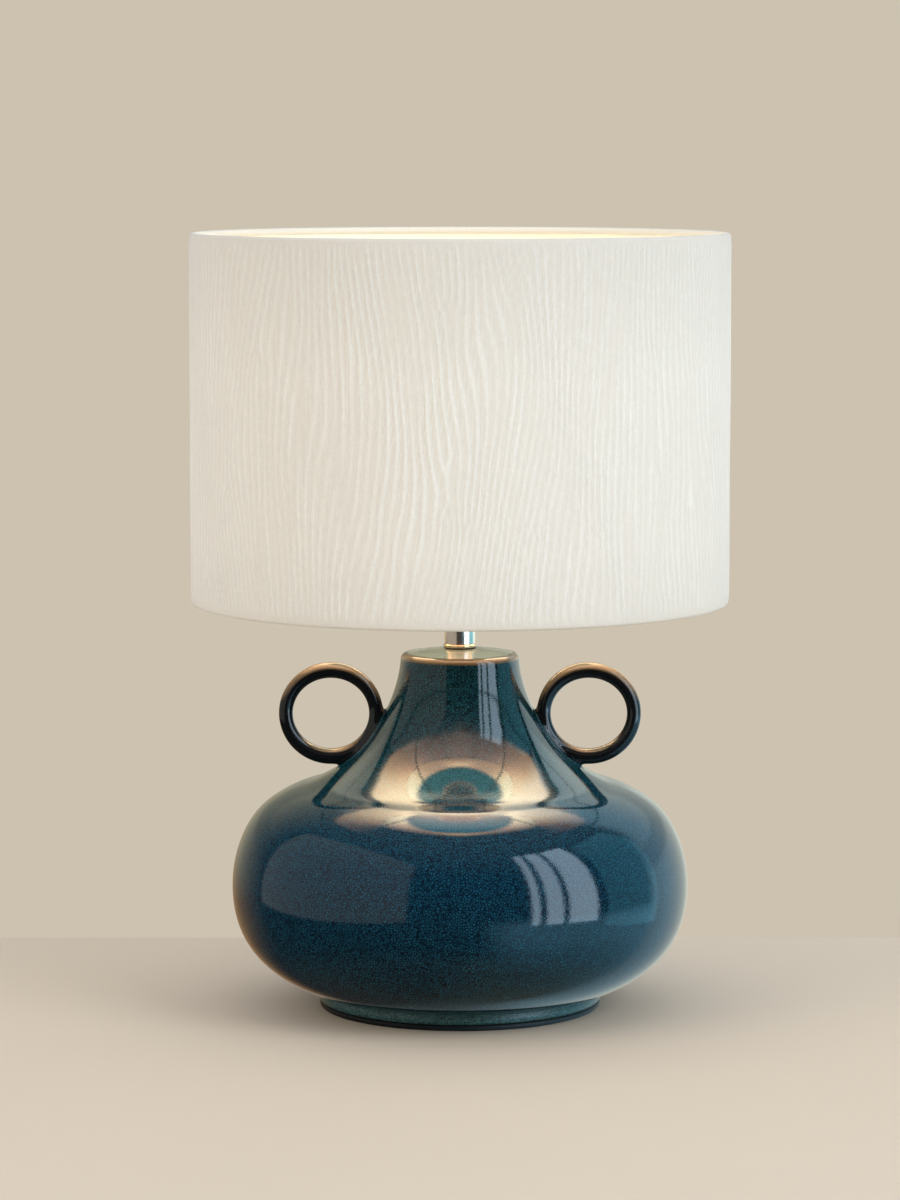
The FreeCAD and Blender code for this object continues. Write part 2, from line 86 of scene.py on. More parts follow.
# Outside of the vessel from the lip down to the groove above the foot: radius and height
OUTLINE = np.array((
    (38.7, 229.3), (42.3, 210.4), (49.6, 192.1), (60.5, 173.8), (93.5, 149.9), (130.6, 130.5),
    (144.9, 106.6), (149.3, 79.7), (141.0, 45.1), (122.0, 24.4), (102.0, 13.7), (91.8, 10.4))) * MM
BELLY_TOP, JOIN_LOW, JOIN_HIGH, LUTED_LOW, LUTED_HIGH = (z * MM for z in (110, 152, 216, 140, 228))
VESSEL_COLUMNS = 312
RING_CENTRE = np.array((84.387, 0.0, 192.765)) * MM
SHOULDER, SHOULDER_REACH, SHOULDER_LIFT = 104 * MM, 8 * MM, 0.85 * MM

# Where the table ends behind the lamp, and the lit inside of the drum as gloss sees it
TABLE_BACK = 0.232
DRUM_REACH, DRUM_LOW, DRUM_HIGH, DRUM_PANELS = 0.168, 0.200, 0.498, 16
BAND_HEIGHT, BAND_REACH = 0.185, 0.125


# Shapes

def lengths_along(points):
    """Length of a line of points from its start to each of them."""
    return np.concatenate(((0,), np.cumsum(np.linalg.norm(np.diff(points, axis=0), axis=1))))


def angles_round(count):
    """Angles at equal steps round a circle."""
    return np.arange(count) * (2 * np.pi / count)


def spline(points, values):
    """Cubic spline through points, over the length of the chords between them, with the third
    derivative unbroken at the second and the last but one. Values run from 0 to 1."""
    count = len(points)
    knots = lengths_along(points)
    h = np.diff(knots)
    system, right = np.zeros((count, count)), np.zeros((count, 2))
    i = np.arange(1, count - 1)
    system[i, i - 1], system[i, i], system[i, i + 1] = h[:-1], 2 * (h[:-1] + h[1:]), h[1:]
    slopes = np.diff(points, axis=0) / h[:, None]
    right[1:-1] = 6 * np.diff(slopes, axis=0)
    system[0, :3] = h[1], -h[0] - h[1], h[0]
    system[-1, -3:] = h[-1], -h[-1] - h[-2], h[-2]
    bend = np.linalg.solve(system, right)
    u = np.asarray(values) * knots[-1]
    j = np.clip(np.searchsorted(knots, u, side="right") - 1, 0, count - 2)
    a, b, w = (knots[j + 1] - u)[:, None], (u - knots[j])[:, None], h[j][:, None]
    return (bend[j] * a ** 3 + bend[j + 1] * b ** 3) / (6 * w) + (
        points[j] / w - bend[j] * w / 6) * a + (points[j + 1] / w - bend[j + 1] * w / 6) * b


def rounded(corners, steps=6):
    """Closed outline with softened corners. A corner (r, z, cut) is replaced by the quadratic curve
    that starts and ends at the distance cut from it along its sides and has the corner as its
    middle control point. A point more on each side keeps the flat faces flat in shading."""
    c = np.array(corners, float)
    corner, cut = c[:, None, :2], c[:, None, 2:]
    before = np.roll(corner, 1, axis=0) - corner
    after = np.roll(corner, -1, axis=0) - corner
    before /= np.linalg.norm(before, axis=2, keepdims=True)
    after /= np.linalg.norm(after, axis=2, keepdims=True)
    t = np.linspace(0, 1, steps)[None, :, None]
    start, end = corner + before * cut, corner + after * cut
    curve = (1 - t) ** 2 * start + 2 * t * (1 - t) * corner + t ** 2 * end
    outline = np.concatenate((start + before * cut * 0.35, curve, end + after * cut * 0.35), axis=1)
    outline = outline.reshape(-1, 2)
    step = np.linalg.norm(outline - np.roll(outline, 1, axis=0), axis=1)
    return outline[step > 2e-6]


def turned(outline, angles):
    """Surface of revolution as a grid: the point (r, z) of the outline at the angle a goes to
    (r cos a, r sin a, z). A number for the angles stands for as many equal steps."""
    if isinstance(angles, int):
        angles = angles_round(angles)
    r, z = outline[:, :1], outline[:, 1:]
    return np.stack((r * np.cos(angles), r * np.sin(angles), z + 0 * angles), axis=-1)


def quads_between(rows, columns, loop):
    """Quads of a grid whose columns close on themselves, and whose rows do too when loop is set."""
    i, j = np.meshgrid(np.arange(rows if loop else rows - 1), np.arange(columns), indexing="ij")
    below, beside = (i + 1) % rows, (j + 1) % columns
    corners = (i * columns + j, i * columns + beside, below * columns + beside, below * columns + j)
    return np.stack(corners, axis=-1).reshape(-1, 4)


def skin(grid, poles=None):
    """Points, quads and triangles of a closed surface. With poles, the first and the last row are
    closed by a fan to a point on the axis at the given heights; without, the rows form a loop."""
    rows, columns = grid.shape[:2]
    points = grid.reshape(-1, 3)
    quads = quads_between(rows, columns, poles is None)
    triangles = np.zeros((0, 3), int)
    if poles is not None:
        edge = np.arange(columns)
        beside = np.roll(edge, -1)
        first, last = len(points), len(points) + 1
        points = np.vstack((points, ((0, 0, poles[0]), (0, 0, poles[1]))))
        low = np.stack((np.full(columns, first), beside, edge), axis=1)
        lift = (rows - 1) * columns
        high = np.stack((np.full(columns, last), edge + lift, beside + lift), axis=1)
        triangles = np.vstack((low, high))
    return points, quads, triangles


def signed_volume(points, quads, triangles):
    """Volume inside a closed surface, negative where its faces point inwards."""
    a, b, c, d = (points[quads[:, k]] for k in range(4))
    total = (a * np.cross(b, c)).sum() + (a * np.cross(c, d)).sum()
    a, b, c = (points[triangles[:, k]] for k in range(3))
    return (total + (a * np.cross(b, c)).sum()) / 6


def piece(name, shape, finish, body, node):
    """Mesh object at the origin from the arrays of a closed surface, faces outwards, riding a body
    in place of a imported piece."""
    points, quads, triangles = shape
    if signed_volume(points, quads, triangles) < 0:
        quads, triangles = quads[:, ::-1], triangles[:, ::-1]
    mesh = bpy.data.meshes.new(name)
    mesh.from_pydata(points.tolist(), [], quads.tolist() + triangles.tolist())
    mesh.shade_smooth()
    mesh.materials.append(finish)
    made = bpy.data.objects.new(name, mesh)
    bpy.context.scene.collection.objects.link(made)
    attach(made, body)
    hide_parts(node)
    return made


def ring_of(low, high, inner, outer, cut):
    """Outline of a flat ring with softened edges."""
    return rounded(((inner, low, cut), (outer, low, cut), (outer, high, cut), (inner, high, cut)))


# The vessel and the rings luted to it

def vessel_line(spacing_fine=0.8 * MM, spacing=3.2 * MM):
    """Points of the vessel's outside from the lip down, closer together where the rings join it. The
    shoulder is a little flatter round the radius SHOULDER: the height gains SHOULDER_LIFT times x
    times exp(-x squared / 2), with x the distance from that radius over SHOULDER_REACH."""
    dense = spline(OUTLINE, np.linspace(0, 1, 4000))
    x = (dense[:, 0] - SHOULDER) / SHOULDER_REACH
    dense[:, 1] += np.where(dense[:, 1] > BELLY_TOP, SHOULDER_LIFT * x * np.exp(-x * x / 2), 0)
    length = lengths_along(dense)
    near = (dense[:, 1] > JOIN_LOW) & (dense[:, 1] < JOIN_HIGH)
    count = np.concatenate(((0,), np.cumsum(np.diff(length) / np.where(near[1:], spacing_fine, spacing))))
    wanted = np.linspace(0, count[-1], int(count[-1]) + 1)
    return np.stack([np.interp(wanted, count, dense[:, k]) for k in (0, 1)], axis=1)


def left_normals(line):
    """Unit normals to the left of the direction of a line of (r, z) points."""
    along = np.gradient(line, axis=0)
    normal = np.stack((-along[:, 1], along[:, 0]), axis=1)
    return normal / np.linalg.norm(normal, axis=1, keepdims=True)


def vessel_outline(wall):
    """Closed outline of the clay: out over the top, down the outside, under the foot, up the inside.
    The top, the rim and the groove above the foot are bowed as parabolas, 4 t (1 - t) times their
    height."""
    outside = vessel_line()
    inside = (vessel_line(5 * MM, 7 * MM) - left_normals(vessel_line(5 * MM, 7 * MM)) * wall)[::-1]
    ceiling, floor_top, floor_low, foot_low = LAND_TOP - 7 * MM, 22 * MM, 16 * MM, 4 * MM
    neck_hole, floor_hole, hollow = 5.5 * MM, 55 * MM, 84 * MM
    inside = inside[(inside[:, 1] > floor_top + 3 * MM) & (inside[:, 1] < ceiling - 2 * MM)]
    lip, groove = OUTLINE[0], OUTLINE[-1]
    edge, land = lip + np.array((-3.5, 3.3)) * MM, np.array((12.5 * MM, LAND_TOP))
    t = np.linspace(0, 1, 9)[1:-1, None]
    bow = 4 * t * (1 - t)
    dome = land + (edge - land) * t + np.array((0, 0.2 * MM)) * bow
    out = np.array((edge[1] - lip[1], lip[0] - edge[0]))
    rim = edge + (lip - edge) * t + out / np.linalg.norm(out) * MM * bow
    foot = groove + np.array((0, foot_low - groove[1])) * t + np.array((0.9 * MM, 0)) * bow

    def plain(line):
        return [(*point, 0) for point in line.tolist()]

    return rounded([
        (neck_hole, LAND_TOP, 0.4 * MM), (*land, 0), *plain(dome), (*edge, 0.7 * MM), *plain(rim),
        *plain(outside), *plain(foot), (groove[0], foot_low, 0.9 * MM), (hollow, foot_low, 1.0 * MM),
        (hollow, floor_low, 2 * MM), (floor_hole, floor_low, 1 * MM), (floor_hole, floor_top, 1 * MM),
        (inside[0, 0] - 2 * MM, floor_top, 3 * MM), *plain(inside),
        (inside[-1, 0] - 1 * MM, ceiling, 1.5 * MM), (neck_hole, ceiling, 0.4 * MM)])


def ring_line(angle, settings):
    """Middle of a ring's bar at an angle round it, (x, z) of a slightly flattened circle, and the
    bar's radius there, which is larger at the top and the bottom by the square of the sine."""
    wide, high = settings.half_width, settings.half_height
    bar = settings.bar_radius + settings.swell * np.sin(angle) ** 2
    return wide * np.cos(angle), high * np.sin(angle), bar


def bar_distance(points, side, settings):
    """Distance to the round bar of a ring handle: how far a point is from the middle of the bar at
    its own angle round the ring, less the radius of the bar."""
    offset = points - RING_CENTRE * (side, 1, 1)
    angle = np.arctan2(offset[..., 2] / settings.half_height, offset[..., 0] / settings.half_width)
    x, z, bar = ring_line(angle, settings)
    return np.sqrt((offset[..., 0] - x) ** 2 + offset[..., 1] ** 2 + (offset[..., 2] - z) ** 2) - bar


def vessel_distance(points):
    """Distance to the outside of the vessel: radius less the vessel's radius at that height, times
    the cosine of the wall's slope."""
    line = vessel_line(0.5 * MM, 1 * MM)[::-1]
    slope = np.gradient(line[:, 0], line[:, 1])
    z = points[..., 2]
    radius = np.interp(z, line[:, 1], line[:, 0])
    tilt = np.interp(z, line[:, 1], slope)
    return (np.hypot(points[..., 0], points[..., 1]) - radius) / np.sqrt(1 + tilt ** 2)


def luted(points, normals, own, other, reach):
    """Moves points out along their normals to the smooth minimum of two distances: the smaller one
    less (reach - difference) squared over four reaches. Past the middle of the web of slip, where
    the other surface is the outer one, the points sink a little below it."""
    moved = np.zeros(points.shape[:-1])
    for _ in range(12):
        place = points + normals * moved[..., None]
        a, b = own(place), other(place)
        web = np.maximum(reach - np.abs(a - b), 0)
        level = np.minimum(a, b) - web * web / (4 * reach)
        moved = np.clip(moved - np.where(b < reach, level, 0), 0, reach)
    sink = np.clip((a - b) / reach, 0, 1)
    return points + normals * (moved - sink * (moved + 0.1 * reach))[..., None]


def make_vessel(settings, finish):
    """Vessel: its outline turned round the axis, with the columns closer together at the rings (at
    the angle t less 0.3 sin 2t), and its outside raised to meet both rings."""
    outline = vessel_outline(settings.wall)
    around = angles_round(VESSEL_COLUMNS)
    grid = turned(outline, around - 0.3 * np.sin(2 * around))
    flat = left_normals(np.vstack((outline[-1:], outline, outline[:1])))[1:-1]
    angle = np.arctan2(grid[..., 1], grid[..., 0])
    normals = np.stack((flat[:, :1] * np.cos(angle), flat[:, :1] * np.sin(angle),
                        flat[:, 1:] + 0 * angle), axis=-1)
    outside = np.flatnonzero((vessel_distance(grid[:, 0]) > -1 * MM) & (outline[:, 1] > LUTED_LOW)
                             & (outline[:, 1] < LUTED_HIGH))
    rings = bpy.context.scene.lamp_rings
    for side in (-1, 1):
        near = grid[outside]
        grid[outside] = luted(near, normals[outside], vessel_distance,
                              lambda p: bar_distance(p, side, rings), settings.slip_reach)
    vessel = piece("vessel", skin(grid), finish, "base", "lamp_body")
    bore_for_flex(vessel)


def bore_for_flex(vessel, radius=5.0 * MM, reach=20 * MM, sides=48):
    """Cuts the hole that the flex bush sits in, along the bush's own axis."""
    mount = next(m for m in frame["record"]["mounts"] if m["name"] == "flex_entry")
    axis, middle = Vector(mount["axis"]), Vector(mount["pos_m"])
    across = axis.orthogonal().normalized()
    frame_of_axis = np.array((across, axis.cross(across), axis))
    local = turned(np.array(((radius, -reach), (radius, reach))), sides)
    points = (local @ frame_of_axis + np.array(middle)).reshape(-1, 3)
    quads = quads_between(2, sides, False)
    mesh = bpy.data.meshes.new("drill")
    caps = [list(range(sides)), list(range(2 * sides - 1, sides - 1, -1))]
    mesh.from_pydata(points.tolist(), [], quads[:, ::-1].tolist() + caps)
    drill = bpy.data.objects.new("drill", mesh)
    bpy.context.scene.collection.objects.link(drill)
    cut = vessel.modifiers.new("flex_hole", "BOOLEAN")
    cut.operation, cut.solver, cut.object = "DIFFERENCE", "EXACT", drill
    bpy.context.view_layer.update()
    whole = vessel.evaluated_get(bpy.context.evaluated_depsgraph_get())
    bored = bpy.data.meshes.new_from_object(whole)
    vessel.modifiers.clear()
    vessel.data = bored
    bpy.data.objects.remove(drill)


def make_ring(side, settings, reach, finish):
    """Ring handle: the point at the angle a round the ring and b round the bar is the middle of the
    bar at a, plus bar cos b outwards in the XZ plane, plus bar sin b along Y."""
    a, b = angles_round(360)[:, None], angles_round(64)[None, :]
    x, z, bar = ring_line(a, settings)
    out = np.arctan2(np.sin(a) / settings.half_height, np.cos(a) / settings.half_width)
    normals = np.stack((np.cos(out) * np.cos(b), np.sin(b) + 0 * a, np.sin(out) * np.cos(b)), axis=-1)
    middle = np.stack((x + 0 * b, 0 * x + 0 * b, z + 0 * b), axis=-1)
    grid = RING_CENTRE * (side, 1, 1) + middle + normals * bar[..., None]
    grid = luted(grid, normals, lambda p: bar_distance(p, side, settings), vessel_distance, reach)
    name = "right" if side > 0 else "left"
    piece("ring_" + name, skin(grid), finish, "base", "handle_ring_" + name)


# The shade

def ridge_wave(angle, height, count, seed):
    """Complex numbers whose phase turns once for each raised line of the cloth. The phase is count
    times the angle plus a sum of slow sine waves, and each pair of forks (a, b), where q more lines
    begin and end, multiplies it by sin((z - a)/2)^q and the conjugate of sin((z - b)/2)^q, with z
    the angle plus i times height over radius. All of it closes round the drum."""
    random = np.random.default_rng(seed)
    sway = np.zeros(np.broadcast(angle, height).shape)
    for waves, length, size in ((2, 0.52, 3.4), (3, 0.41, 2.6), (5, 0.36, 1.9), (8, 0.27, 1.3),
                                (11, 0.22, 0.9), (16, 0.17, 0.6), (23, 0.13, 0.4), (31, 0.10, 0.25),
                                (41, 0.047, 0.15)):
        for way in (-1, 1):
            shift = random.uniform(0, 2 * np.pi)
            sway = sway + size * MM / SHADE_RADIUS * np.sin(
                waves * angle + way * 2 * np.pi / length * height + shift)
    wave = np.exp(1j * count * (angle + sway))
    z = angle + 1j * height / SHADE_RADIUS
    for _ in range(30):
        turn = random.uniform(0, 2 * np.pi)
        low = random.uniform(-0.06, 0.17)
        long = random.uniform(0.07, 0.2)
        lean = random.normal(0, 0.03)
        lines = int(random.choice((1, 1, 1, 2)))
        for end, sign in ((turn + 1j * low / SHADE_RADIUS, 1),
                          (turn + lean + 1j * (low + long) / SHADE_RADIUS, -1)):
            fork = np.sin((z - end) / 2)
            fork = fork / np.maximum(np.abs(fork), 1e-9)
            wave = wave * (fork if sign > 0 else fork.conj()) ** lines
    return wave


def line_strength(angle, height):
    """How far each stretch of the raised lines stands out: a mean plus a sum of sine waves."""
    random = np.random.default_rng(19)
    strength = np.full(np.broadcast(angle, height).shape, 0.72)
    for waves, length in ((4, 0.31), (9, 0.17), (17, 0.23), (29, 0.12), (43, 0.19), (61, 0.11), (83, 0.14)):
        for way in (-1, 1):
            strength = strength + 0.085 * np.sin(waves * angle + way * 2 * np.pi / length * height
                                                 + random.uniform(0, 2 * np.pi))
    return np.clip(strength, 0.15, 1)


def make_cloth(settings, finish):
    """Cover of the drum. Its outline runs from inside the lower hem round the ring wire, up the
    wall, over the upper wire and in again, and back along the inner face; the wall is raised by
    height times ((half of 1 + cos phase) to the power 1.6), less near the hems, and by the lap of
    the seam at the back."""
    thick, hem, turn = 0.7 * MM, 2.3 * MM, 298
    rows, columns = 44, 1344
    up = np.linspace(SHADE_LOW + hem, SHADE_HIGH - hem, rows)

    def path(out, steps):
        """Both hems as arcs of the given radius round their ring wires."""
        below = np.radians(np.linspace(360 - turn, 360, steps))[:-1]
        above = np.radians(np.linspace(0, turn, steps))[1:]
        return [np.stack((SHADE_RADIUS - hem + out * np.cos(a), middle + out * np.sin(a)), axis=1)
                for a, middle in ((below, up[0]), (above, up[-1]))]

    low, high = path(hem, 11)
    low_in, high_in = path(hem - thick, 5)
    wall = np.stack((np.full(rows, SHADE_RADIUS), up), axis=1)
    wall_in = np.stack((np.full(2, SHADE_RADIUS - thick), np.array((up[0], up[-1]))), axis=1)
    outline = np.vstack((low, wall, high, high_in[::-1], wall_in[::-1], low_in[::-1]))
    grid = turned(outline, columns)
    angle = angles_round(columns)
    around, level = angle[None, :], up[:, None] - SHADE_LOW
    wave = ridge_wave(around, level, settings.line_count, 7)
    fine = ridge_wave(around, level, int(settings.line_count * 1.7), 23)
    fade = np.clip((np.minimum(up - SHADE_LOW, SHADE_HIGH - up) - 3 * MM) / (5 * MM), 0, 1)[:, None]
    fade = fade * line_strength(around, level)
    raised = settings.line_height * ((1 + wave.real) / 2) ** 1.6 * fade
    back = (angle - np.pi / 2) * SHADE_RADIUS
    lap_half, lap_height, lap_over = 9 * MM, 0.35 * MM, 10 * MM
    lap = np.clip((back + lap_half) / (2 * MM), 0, 1) * np.clip((lap_half - back) / (1 * MM), 0, 1)
    raised = raised + lap_height * lap[None, :]
    away = np.stack((np.cos(angle), np.sin(angle), 0 * angle), axis=-1)
    first = len(low)
    grid[first:first + rows] += raised[..., None] * away
    cloth = piece("shade_cloth", skin(grid), finish, "shade", "shade_fabric")
    cloth.visible_glossy = False
    for name, field in (("raised_line", wave), ("fine_line", fine)):
        lines = np.zeros((len(outline), columns, 3))
        lines[..., 0] = -1
        lines[first:first + rows] = np.stack((field.real, field.imag, fade), axis=-1)
        cloth.data.attributes.new(name, "FLOAT_VECTOR", "POINT").data.foreach_set(
            "vector", lines.reshape(-1).astype(np.float32))


def screw_cap(low, high, outer, button=4.9 * MM, sheet=0.4 * MM, columns=96):
    """Bulb's cap. The radius of its wall at the height z and the angle a is smaller by the thread's
    depth times half of 1 - cos(2 pi z / pitch - a), and the depth runs out near both ends."""
    z, a = np.linspace(low + 0.6 * MM, high - 0.6 * MM, 72)[:, None], angles_round(columns)[None, :]
    depth = np.clip(np.minimum(z - low - 1.2 * MM, high - 2.5 * MM - z) / (2 * MM), 0, 1)
    r = outer - 0.05 * MM - 0.9 * MM * depth * (0.5 - 0.5 * np.cos(2 * np.pi * z / BULB_THREAD - a))
    wall = np.stack((r * np.cos(a), r * np.sin(a), z + 0 * a), axis=-1)
    under = np.array(((button, low), (outer - 1.2 * MM, low), (outer - 0.3 * MM, low + 0.2 * MM)))
    inner = outer - sheet
    over = np.array(((outer - 0.15 * MM, high), (inner, high), (inner, low + 0.5 * MM),
                     (button, low + 0.5 * MM)))
    return skin(np.concatenate((turned(under, columns), wall, turned(over, columns))))


# Finishes

class Nodes:
    """Adds nodes and links to a tree; each method gives the socket that carries its result."""

    def __init__(self, tree):
        self.tree = tree

    def put(self, socket, value):
        if isinstance(value, bpy.types.NodeSocket):
            self.tree.links.new(value, socket)
        else:
            socket.default_value = value

    def add(self, kind, inputs=None, **settings):
        node = self.tree.nodes.new("ShaderNode" + kind)
        for key, value in settings.items():
            setattr(node, key, value)
        for key, value in (inputs or {}).items():
            self.put(node.inputs[key], value)
        return node

    def place(self):
        """The place in the object's own frame, in metres."""
        return self.add("TexCoord").outputs["Object"]

    def axis(self, letter, place=None):
        return self.add("SeparateXYZ", {0: place or self.place()}).outputs[letter]

    def radius(self, place):
        """Distance of a place from the lamp's axis."""
        flat = self.add("VectorMath", {0: place, 1: (1, 1, 0)}, operation="MULTIPLY").outputs[0]
        return self.add("VectorMath", {0: flat}, operation="LENGTH").outputs["Value"]

    def math(self, operation, first, second=0.0, third=0.0):
        return self.add("Math", {0: first, 1: second, 2: third}, operation=operation).outputs[0]

    def times(self, product, *factors):
        for factor in factors:
            product = self.math("MULTIPLY", product, factor)
        return product

    def hypotenuse(self, a, b):
        return self.math("SQRT", self.math("ADD", self.times(a, a), self.times(b, b)))

    def span(self, value, low, high, to_low=0.0, to_high=1.0):
        """Value carried from one range to another and held at its ends."""
        return self.add("MapRange", {0: value, 1: low, 2: high, 3: to_low, 4: to_high}).outputs[0]

    def noise(self, scale, detail=2.0, roughness=0.5, stretch=(1, 1, 1)):
        place = self.add("Mapping", {0: self.place(), 3: stretch}).outputs[0]
        return self.add("TexNoise", {"Vector": place, "Scale": scale, "Detail": detail,
                                     "Roughness": roughness}).outputs["Fac"]

    def ramp(self, value, stops):
        node = self.add("ValToRGB", {0: value})
        elements = node.color_ramp.elements
        while len(elements) < len(stops):
            elements.new(0.5)
        for element, (position, colour) in zip(elements, stops):
            element.position, element.color = position, (*colour[:3], 1)
        return node.outputs[0]

    def mix(self, share, first, second, blend="MIX"):
        sockets = {0: share, 6: first, 7: second}
        return self.add("Mix", sockets, data_type="RGBA", blend_type=blend).outputs[2]

    def bump(self, height, strength, distance, below=None):
        inputs = {"Height": height, "Strength": strength, "Distance": distance}
        if below is not None:
            inputs["Normal"] = below
        return self.add("Bump", inputs).outputs[0]


class Finish(Nodes):
    """A node material that ends in one shader."""

    def __init__(self, name, **sockets):
        self.material = bpy.data.materials.new(name)
        self.material.use_nodes = True
        super().__init__(self.material.node_tree)
        self.shader = self.tree.nodes["Principled BSDF"]
        for key, value in sockets.items():
            self.set(key.replace("_", " "), value)

    def set(self, socket, value):
        self.put(self.shader.inputs[socket], value)

    def wear(self, colour, scale=260.0, amount=0.12):
        """Fine uneven tone over a plain colour."""
        tone = self.span(self.noise(scale, 3.0), 0.3, 0.7, 1 - amount, 1 + amount)
        self.set("Base Color", self.mix(1.0, colour, tone, "MULTIPLY"))


def vessel_glaze(settings):
    """Layered glaze: green at the neck, teal on the shoulder, blue on the belly, green-black below,
    a pale speckled band at the foot that is partly speckle and partly painted light from the lit table,
    with fine cells everywhere, brown on the rim that is partly glaze running thin and partly a painted
    reflection of the lit shade, a pale grey green painted reflection of the backdrop on the flat top
    inside the rim, and bare clay inside the foot."""
    f = Finish("vessel_glaze", IOR=1.52)
    height, radius = f.axis("Z"), f.radius(f.place())
    f.set("Roughness", f.span(height, 0.010, 0.016, 0.38, 0.075))
    drift = f.noise(16.0, 3.0)
    level = f.math("ADD", height, f.math("MULTIPLY_ADD", drift, 0.022, -0.011))
    level = f.span(level, 0.0, 0.236)
    colour = f.ramp(level, (
        (0.00, screen(34, 66, 64)), (0.06, screen(24, 48, 48)), (0.12, screen(6, 32, 42)),
        (0.26, screen(3, 32, 50)), (0.45, settings.belly_colour[:]), (0.58, screen(8, 58, 80)),
        (0.67, screen(20, 70, 78)), (0.76, screen(14, 50, 54)), (1.00, settings.neck_colour[:])))
    cells = f.add("TexVoronoi", {"Vector": f.place(), "Scale": 620.0, "Randomness": 0.9},
                  feature="DISTANCE_TO_EDGE")
    dots = f.span(cells.outputs["Distance"], 0.06, 0.30)
    patches = f.span(f.noise(190.0, 2.0), 0.35, 0.65, 0.6, 1.0)
    light = f.mix(f.math("MULTIPLY_ADD", dots, -0.72, 0.72), colour, screen(2, 12, 22))
    light = f.mix(f.times(dots, patches, 0.34), light, screen(40, 112, 136))
    # Pale band at the foot: partly the glaze's speckle, partly painted light where the foot catches the lit
    # table.
    foot = f.times(f.span(height, 0.0145, 0.0105), f.span(f.noise(900.0, 2.0), 0.40, 0.60))
    light = f.mix(f.times(foot, 0.7), light, screen(76, 122, 116))
    # Brown along the rim: partly glaze running thin, partly a painted reflection of the lit shade.
    edge = f.math("MULTIPLY_ADD", f.noise(70.0, 2.0), -0.0012, height)
    rim = f.times(f.span(edge, 0.2278, 0.2296), f.span(edge, 0.2330, 0.2318),
                  f.span(radius, 0.0325, 0.0345), 0.9)
    light = f.mix(rim, light, settings.rim_colour[:])
    # Painted reflection: the flat top inside the rim is painted pale grey green, as the backdrop mirrored
    # in it.
    top = f.times(f.span(height, 0.2318, 0.2324), f.span(radius, 0.0350, 0.0335), 0.95)
    light = f.mix(top, light, screen(176, 186, 166))
    inside = f.times(f.span(height, 0.0105, 0.0095), f.span(radius, 0.0870, 0.0860))
    f.set("Base Color", f.mix(inside, light, screen(150, 138, 120)))
    ripple = f.bump(f.noise(260.0, 2.0), 0.12, 0.00018)
    f.set("Normal", f.bump(dots, 0.10, 0.00004, ripple))
    return f.material


def ring_glaze(settings):
    """Dark glaze with a painted highlight along the tops of the rings: a warm brown band that stands in
    for the lit shade mirrored in the glaze, over more of the bar in their upper half."""
    f = Finish("ring_glaze", Roughness=0.10, IOR=1.52)
    up = f.axis("Z", f.add("NewGeometry").outputs["Normal"])
    height = f.axis("Z")
    # Painted highlight: faces that look upwards get the warm brown of the lit shade, more so in the ring's
    # upper half.
    top = f.span(f.math("SUBTRACT", up, f.span(height, 0.185, 0.205, 0.45, 0.12)), 0.0, 0.55)
    top = f.times(top, f.span(height, 0.185, 0.205, 0.60, 0.66),
                  f.span(f.noise(60.0, 3.0), 0.25, 0.5, 0.6, 1.0))
    colour = f.mix(top, settings.ring_colour[:], screen(214, 176, 128))
    speck = f.span(f.noise(1300.0, 2.0), 0.5, 0.8)
    f.set("Base Color", f.mix(f.times(speck, 0.3), colour, screen(36, 42, 46)))
    f.set("Normal", f.bump(f.noise(240.0, 2.0), 0.15, 0.0002))
    return f.material


def cloth_finish(settings):
    """Embossed cloth: narrow raised lines with painted shade in the grooves between them, the fine
    pebbling of the weave, painted shade that darkens it near both rims, and a painted glow, in place
    of the lining's light, on what is turned in at the upper hem."""
    f = Finish("cloth", Roughness=0.92, IOR=1.4, Sheen_Weight=0.15, Sheen_Roughness=0.5)
    broken = f.span(f.noise(420.0, 2.0), 0.3, 0.6, 0.7, 1.0)

    def ridge_of(name, power):
        """Half of 1 + cosine of the phase, to a power; the phase comes from the field's two parts."""
        parts = f.add("SeparateXYZ", {0: f.add("Attribute", attribute_name=name).outputs["Vector"]})
        c, s, share = parts.outputs
        cosine = f.math("DIVIDE", c, f.math("MAXIMUM", f.hypotenuse(c, s), 0.001))
        ridge = f.math("POWER", f.math("MULTIPLY_ADD", cosine, 0.5, 0.5), power)
        return f.times(ridge, share, broken)

    ridge = f.math("MAXIMUM", ridge_of("raised_line", 1.8), f.times(ridge_of("fine_line", 3.0), 0.5))
    pebble = f.noise(1000.0, 1.5, 0.6)
    thread = f.noise(700.0, 2.0, 0.6, stretch=(1.0, 1.0, 0.25))
    tone = f.span(f.math("ADD", pebble, thread), 0.7, 1.3, 0.945, 1.045)
    height = f.axis("Z")
    # Painted shade: the cloth is darker near the upper rim and near the lower rim.
    tone = f.times(tone, f.span(height, SHADE_HIGH, SHADE_HIGH - 0.09, 0.88, 1.0),
                   f.span(height, SHADE_LOW, SHADE_LOW + 0.05, 0.93, 1.0))
    colour = f.mix(1.0, settings.cloth_colour[:], tone, "MULTIPLY")
    # Painted shade: the ground between the raised lines is darkened towards a grey beige, and the lines
    # stay light.
    f.set("Base Color", f.mix(f.math("MULTIPLY_ADD", ridge, -0.32, 0.32), colour, screen(204, 194, 178)))
    # Painted glow: the cloth turned in at the upper hem gives light of its own, a share of the lining's
    # glow.
    turned_in = f.times(f.span(f.radius(f.place()), SHADE_RADIUS - 2.2 * MM, SHADE_RADIUS - 3.2 * MM),
                        f.span(height, SHADE_HIGH - 0.02, SHADE_HIGH - 0.01))
    f.set("Emission Color", f.mix(turned_in, (0, 0, 0, 1), screen(255, 244, 216)))
    f.set("Emission Strength", settings.lining_glow * 0.55)
    fine = f.bump(f.math("MULTIPLY_ADD", thread, 0.6, pebble), 0.35, 0.00030)
    f.set("Normal", f.bump(ridge, 0.75, 0.0005, fine))
    return f.material


